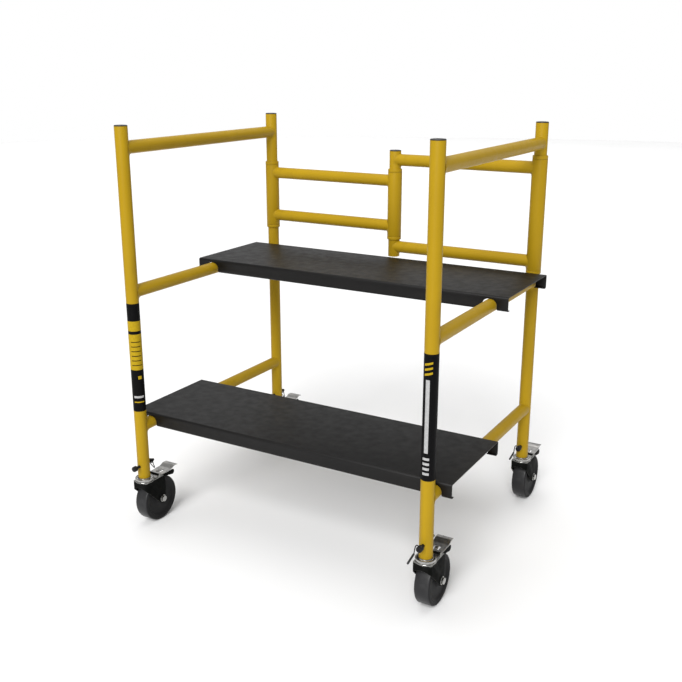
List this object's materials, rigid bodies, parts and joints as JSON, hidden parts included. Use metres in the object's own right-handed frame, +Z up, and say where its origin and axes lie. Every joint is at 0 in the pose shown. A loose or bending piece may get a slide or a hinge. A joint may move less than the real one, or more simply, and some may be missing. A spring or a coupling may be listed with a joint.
{
  "type": "folding rolling scaffold",
  "caption": "Small folding rolling scaffold: tube end frames, a folding rear gate, two channel decks at step and platform height, and braked swivel casters.",
  "frame": {"origin": "on the floor, at the centre of the footprint", "axes": "+X from the left end frame to the right one, +Y from the open front to the gate at the rear, +Z up"},
  "size_m": [0.9524, 0.8467, 1.0885],
  "materials": {
    "frame_paint": "gloss yellow powder coat",
    "deck_coat": "matt black powder coat",
    "zinc": "bright zinc plate",
    "fork_steel": "satin black",
    "pin_steel": "black oxide",
    "wheel_rubber": "matt",
    "cap_plastic": "matt"
  },
  "bodies": {
    "left_frame": {"left_front_post": "frame_paint", "left_rear_post": "frame_paint", "left_crossbar": "frame_paint", "left_mid_rung": "frame_paint", "left_low_rung": "frame_paint", "left_front_cap": "cap_plastic", "left_rear_cap": "cap_plastic", "left_stop_lower": "frame_paint", "left_stop_upper": "frame_paint", "left_front_stem": "zinc", "left_rear_stem": "zinc"},
    "left_gate": {"left_hinge_sleeve": "frame_paint", "left_gate_upper_rail": "frame_paint", "left_gate_lower_rail": "frame_paint", "centre_sleeve": "frame_paint"},
    "right_gate": {"centre_post": "frame_paint", "centre_cap": "cap_plastic", "centre_stop_lower": "frame_paint", "centre_stop_upper": "frame_paint", "right_gate_upper_rail": "frame_paint", "right_gate_lower_rail": "frame_paint", "right_hinge_sleeve": "frame_paint"},
    "right_frame": {"right_front_post": "frame_paint", "right_rear_post": "frame_paint", "right_crossbar": "frame_paint", "right_mid_rung": "frame_paint", "right_low_rung": "frame_paint", "right_front_cap": "cap_plastic", "right_rear_cap": "cap_plastic", "right_stop_lower": "frame_paint", "right_stop_upper": "frame_paint", "right_front_stem": "zinc", "right_rear_stem": "zinc"},
    "upper_deck": {"upper_deck": "deck_coat"},
    "lower_deck": {"lower_deck": "deck_coat"},
    "left_front_fork": {"left_front_fork": "fork_steel", "left_front_axle": "zinc"},
    "left_front_wheel": {"left_front_wheel": "wheel_rubber"},
    "left_front_pedal": {"left_front_pedal": "zinc"},
    "left_front_pin": {"left_front_pin": "pin_steel", "left_front_keeper": "pin_steel"},
    "left_rear_fork": {"left_rear_fork": "fork_steel", "left_rear_axle": "zinc"},
    "left_rear_wheel": {"left_rear_wheel": "wheel_rubber"},
    "left_rear_pedal": {"left_rear_pedal": "zinc"},
    "left_rear_pin": {"left_rear_pin": "pin_steel", "left_rear_keeper": "pin_steel"},
    "right_front_fork": {"right_front_fork": "fork_steel", "right_front_axle": "zinc"},
    "right_front_wheel": {"right_front_wheel": "wheel_rubber"},
    "right_front_pedal": {"right_front_pedal": "zinc"},
    "right_front_pin": {"right_front_pin": "pin_steel", "right_front_lever": "pin_steel"},
    "right_rear_fork": {"right_rear_fork": "fork_steel", "right_rear_axle": "zinc"},
    "right_rear_wheel": {"right_rear_wheel": "wheel_rubber"},
    "right_rear_pedal": {"right_rear_pedal": "zinc"},
    "right_rear_pin": {"right_rear_pin": "pin_steel", "right_rear_lever": "pin_steel"}
  },
  "joints": [
    {"name": "gate_fold", "type": "hinge", "parent": "left_frame", "child": "left_gate", "pos_m": [-0.4275, 0.30885, 0.84], "axis": [0, 0, 1], "range_deg": [0, 76]},
    {"name": "centre_fold", "type": "hinge", "parent": "left_gate", "child": "right_gate", "pos_m": [0, 0.30885, 0.84], "axis": [0, 0, 1], "range_deg": [-152, 0]},
    {"name": "right_frame_fold", "type": "hinge", "parent": "right_gate", "child": "right_frame", "pos_m": [0.4275, 0.30885, 0.84], "axis": [0, 0, 1], "range_deg": [0, 76]},
    {"name": "upper_deck_tilt", "type": "hinge", "parent": "left_frame", "child": "upper_deck", "pos_m": [-0.4275, 0.13635, 0.6645], "axis": [0, -1, 0], "range_deg": [0, 38]},
    {"name": "lower_deck_tilt", "type": "hinge", "parent": "left_frame", "child": "lower_deck", "pos_m": [-0.4275, -0.16265, 0.291], "axis": [0, -1, 0], "range_deg": [0, 38]},
    {"name": "left_front_swivel", "type": "hinge", "parent": "left_frame", "child": "left_front_fork", "pos_m": [-0.4275, -0.34715, 0.1275], "axis": [0, 0, 1], "continuous": true},
    {"name": "left_front_spin", "type": "hinge", "parent": "left_front_fork", "child": "left_front_wheel", "pos_m": [-0.4275, -0.30515, 0.0635], "axis": [1, 0, 0], "continuous": true},
    {"name": "left_front_brake", "type": "hinge", "parent": "left_front_fork", "child": "left_front_pedal", "pos_m": [-0.4275, -0.30915, 0.1345], "axis": [-1, 0, 0], "range_deg": [0, 8]},
    {"name": "left_front_pin_pull", "type": "slide", "parent": "left_frame", "child": "left_front_pin", "axis": [0, -1, 0], "range_m": [0, 0.012]},
    {"name": "left_rear_swivel", "type": "hinge", "parent": "left_frame", "child": "left_rear_fork", "pos_m": [-0.4275, 0.30885, 0.1275], "axis": [0, 0, 1], "continuous": true},
    {"name": "left_rear_spin", "type": "hinge", "parent": "left_rear_fork", "child": "left_rear_wheel", "pos_m": [-0.4275, 0.35085, 0.0635], "axis": [1, 0, 0], "continuous": true},
    {"name": "left_rear_brake", "type": "hinge", "parent": "left_rear_fork", "child": "left_rear_pedal", "pos_m": [-0.4275, 0.34685, 0.1345], "axis": [-1, 0, 0], "range_deg": [0, 8]},
    {"name": "left_rear_pin_pull", "type": "slide", "parent": "left_frame", "child": "left_rear_pin", "axis": [0, -1, 0], "range_m": [0, 0.012]},
    {"name": "right_front_swivel", "type": "hinge", "parent": "right_frame", "child": "right_front_fork", "pos_m": [0.4275, -0.34715, 0.1275], "axis": [0, 0, 1], "continuous": true},
    {"name": "right_front_spin", "type": "hinge", "parent": "right_front_fork", "child": "right_front_wheel", "pos_m": [0.4275, -0.30515, 0.0635], "axis": [1, 0, 0], "continuous": true},
    {"name": "right_front_brake", "type": "hinge", "parent": "right_front_fork", "child": "right_front_pedal", "pos_m": [0.4275, -0.30915, 0.1345], "axis": [-1, 0, 0], "range_deg": [0, 8]},
    {"name": "right_front_pin_pull", "type": "slide", "parent": "right_frame", "child": "right_front_pin", "axis": [0, -1, 0], "range_m": [0, 0.055]},
    {"name": "right_rear_swivel", "type": "hinge", "parent": "right_frame", "child": "right_rear_fork", "pos_m": [0.4275, 0.30885, 0.1275], "axis": [0, 0, 1], "continuous": true},
    {"name": "right_rear_spin", "type": "hinge", "parent": "right_rear_fork", "child": "right_rear_wheel", "pos_m": [0.4275, 0.35085, 0.0635], "axis": [1, 0, 0], "continuous": true},
    {"name": "right_rear_brake", "type": "hinge", "parent": "right_rear_fork", "child": "right_rear_pedal", "pos_m": [0.4275, 0.34685, 0.1345], "axis": [-1, 0, 0], "range_deg": [0, 8]},
    {"name": "right_rear_pin_pull", "type": "slide", "parent": "right_frame", "child": "right_rear_pin", "axis": [0, -1, 0], "range_m": [0, 0.055]}
  ],
  "couplings": [
    {"joint": "centre_fold", "follows": "gate_fold", "ratio": -2},
    {"joint": "right_frame_fold", "follows": "gate_fold", "ratio": 1},
    {"joint": "upper_deck_tilt", "follows": "gate_fold", "ratio": 0.5},
    {"joint": "lower_deck_tilt", "follows": "gate_fold", "ratio": 0.5}
  ]
}
